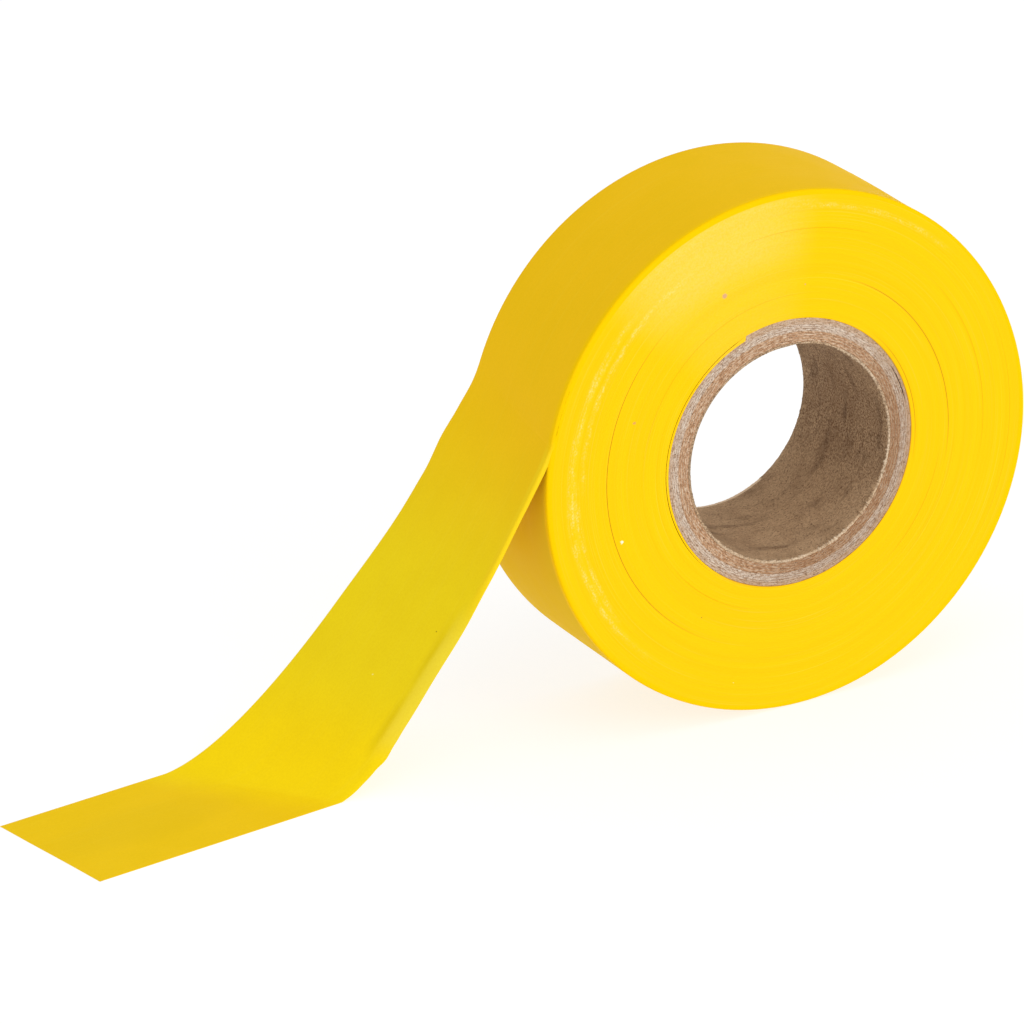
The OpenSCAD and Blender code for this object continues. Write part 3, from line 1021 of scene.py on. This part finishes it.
def makeTail(plan):
    lapR = rollR + (plan["lapGap"] + plan["thick"] / 2) * mm
    floorZ = -rollR - floorPlan["drop"] + (plan["thick"] / 2 + plan["floorGap"]) * mm
    backAngle, frontAngle = (math.radians(180 - plan[key]) for key in ("peelBack", "peelFront"))
    yaw, landing = plan["yaw"], plan["landFrontAngle"]
    flatAhead = Vector((-cosOf(yaw), -sinOf(yaw), 0))
    flatAcross = Vector((-sinOf(yaw), cosOf(yaw), 0))
    touchFront = Vector((-rollR - plan["touchRun"] * mm, -halfW + plan["drift"] * mm, floorZ))
    touchBack = touchFront + flatAcross * filmW + flatAhead * plan["touchStagger"] * mm
    landAhead = Vector((-cosOf(landing), 0, -sinOf(landing)))

    def leave(angle, y):
        spot = Vector((lapR * math.cos(angle), y, lapR * math.sin(angle)))
        return spot, Vector((-math.sin(angle), 0, math.cos(angle)))

    frontPeel, frontAhead = leave(frontAngle, -halfW)
    backPeel, backAhead = leave(backAngle, halfW)

    def edges(s):
        front = cubic(frontPeel, frontPeel + frontAhead * plan["peelFrontRun"] * mm,
                      touchFront - landAhead * plan["landFrontRun"] * mm, touchFront, s)
        back = cubic(backPeel, backPeel + backAhead * plan["peelBackRun"] * mm,
                     touchBack - flatAhead * plan["landBackRun"] * mm, touchBack, s)
        return front, back

    # rows of the sheet: front edge, back edge, share of the drop; on the lap the edges are angles
    # and the share is negative, and on the flat end it is over 1
    rows = []
    lapRows = int((180 - plan["peelBack"] - plan["lapStart"]) / plan["lapStep"])
    start = math.radians(plan["lapStart"])
    for i in range(lapRows):
        t = i / lapRows
        rows.append((start + (frontAngle - start) * t, start + (backAngle - start) * t, t - 1))
    for i in range(plan["freeSteps"] + 1):
        s = i / plan["freeSteps"]
        rows.append((*edges(s), s))
    flatRows = int(plan["flatRun"] / plan["flatStep"])
    reach = plan["flatRun"] + plan["cutSlant"] - plan["touchStagger"]
    for i in range(1, flatRows + 1):
        t = i / flatRows
        rows.append((touchFront + flatAhead * plan["flatRun"] * t * mm,
                     touchBack + flatAhead * reach * t * mm, 1 + t))

    def besideRow(index):
        # edges of the rows before and after, for the direction the sheet runs there
        after = rows[min(index + 1, len(rows) - 1)][:2]
        before = rows[index - 1][:2] if rows[index - 1][2] >= 0 else rows[index][:2]
        return before, after

    def lapSpot(index, place, last, w, drop):
        # a point of the last lap, which lies on the roll
        front, back, s = rows[index]
        angle = front + (back - front) * (w / filmW)
        grow = max(0, (s + 1) * 1.6 - 0.6) * plan["lapGrow"] * mm
        radius = lapR + grow - drop - sunkBy(plan, angle, w)
        if place < 2:
            # the hem ends on one circle, just behind the rim of the face
            radius = rollR - plan["hemEnd"] * mm + place * 0.03 * mm
        if place == last:
            radius = rollR - plan["backHem"] * mm
        if index < plan["startRows"]:
            radius -= plan["startTuck"] * mm * (1 - index / plan["startRows"])
        return Vector((radius * math.cos(angle), -halfW + w, radius * math.sin(angle)))

    def freeSpot(index, w, drop):
        # a point of the film that has left the roll
        front, back, s = rows[index]
        v = w / filmW
        spot = front + (back - front) * v
        before, after = besideRow(index)
        ahead = (after[0] - before[0]) * (1 - v) + (after[1] - before[1]) * v
        outward = (back - front).cross(ahead).normalized()
        (frontWave,), (backWave,) = along(plan["frontWave"], s), along(plan["backWave"], s)
        nearFront = max(0, 1 - v / plan["frontWaveReach"]) ** 2
        nearBack = max(0, (v - plan["backWaveReach"]) / (1 - plan["backWaveReach"])) ** 2
        wave = frontWave * nearFront + backWave * nearBack
        if s < plan["waveStart"]:
            wave = max(wave, plan["lapGrow"] * (1 - s / plan["waveStart"]))
        spot += outward * (wave * mm - drop)
        if s >= 1:
            tight = plan["rippleTight"]
            low = 0.5 + noise.noise(Vector((spot.x * tight, spot.y * tight, 2)))
            spot.z += plan["ripple"] * mm * low * min(1, (s - 1) / plan["rippleStart"])
        around = math.hypot(spot.x, spot.z)
        if around < lapR - drop:
            scale = (lapR - drop) / around
            spot.x *= scale
            spot.z *= scale
        spot.z = max(spot.z, floorZ)
        return spot

    lengths, centre = [], None
    for front, back, s in rows:
        middle = (front + back) / 2   # an angle on the lap
        if s < 0:
            middle = Vector((lapR * math.cos(middle), 0, lapR * math.sin(middle)))
        lengths.append(lengths[-1] + (middle - centre).length if lengths else 0.0)
        centre = middle

    points, runs, lines = [], [], []
    for index, (front, back, s) in enumerate(rows):
        across = tailColumns(plan, s)
        lines.append(range(len(points), len(points) + len(across)))
        for place, (w, drop, run) in enumerate(across):
            points.append(lapSpot(index, place, len(across) - 1, w, drop) if s < 0
                          else freeSpot(index, w, drop))
            runs.append((lengths[index] - lengths[lapRows], run))

    faces = []
    for here, there in zip(lines, lines[1:]):
        for a, b, c, d in zip(here, here[1:], there[1:], there):
            faces.append((a, d, c, b))
    mesh = bpy.data.meshes.new("tailFilm")
    mesh.from_pydata(points, [], faces)
    layer = mesh.uv_layers.new(name="filmRun")
    for loop in mesh.loops:
        layer.data[loop.index].uv = runs[loop.vertex_index]
    sheet = bpy.data.objects.new("tailFilm", mesh)
    bpy.context.scene.collection.objects.link(sheet)
    pickPiece(sheet)
    thicken = sheet.modifiers.new("filmThickness", "SOLIDIFY")
    thicken.thickness, thicken.offset = plan["thick"] * mm, 0
    bpy.ops.object.modifier_apply(modifier="filmThickness")
    bpy.ops.object.shade_smooth_by_angle(angle=math.radians(40))
    sheet.data.materials.append(filmSheet)
    return sheet, lengths[-1], touchFront + flatAcross * filmW / 2, flatAhead


tailFilm, tailLength, landSpot, landAhead = makeTail(tailPlan)
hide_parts("tail_peel", "tail_drop", "tail_fold", "tail_end")
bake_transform(tailFilm)
print("tail laid out, film modelled", round(tailLength / mm), "mm")
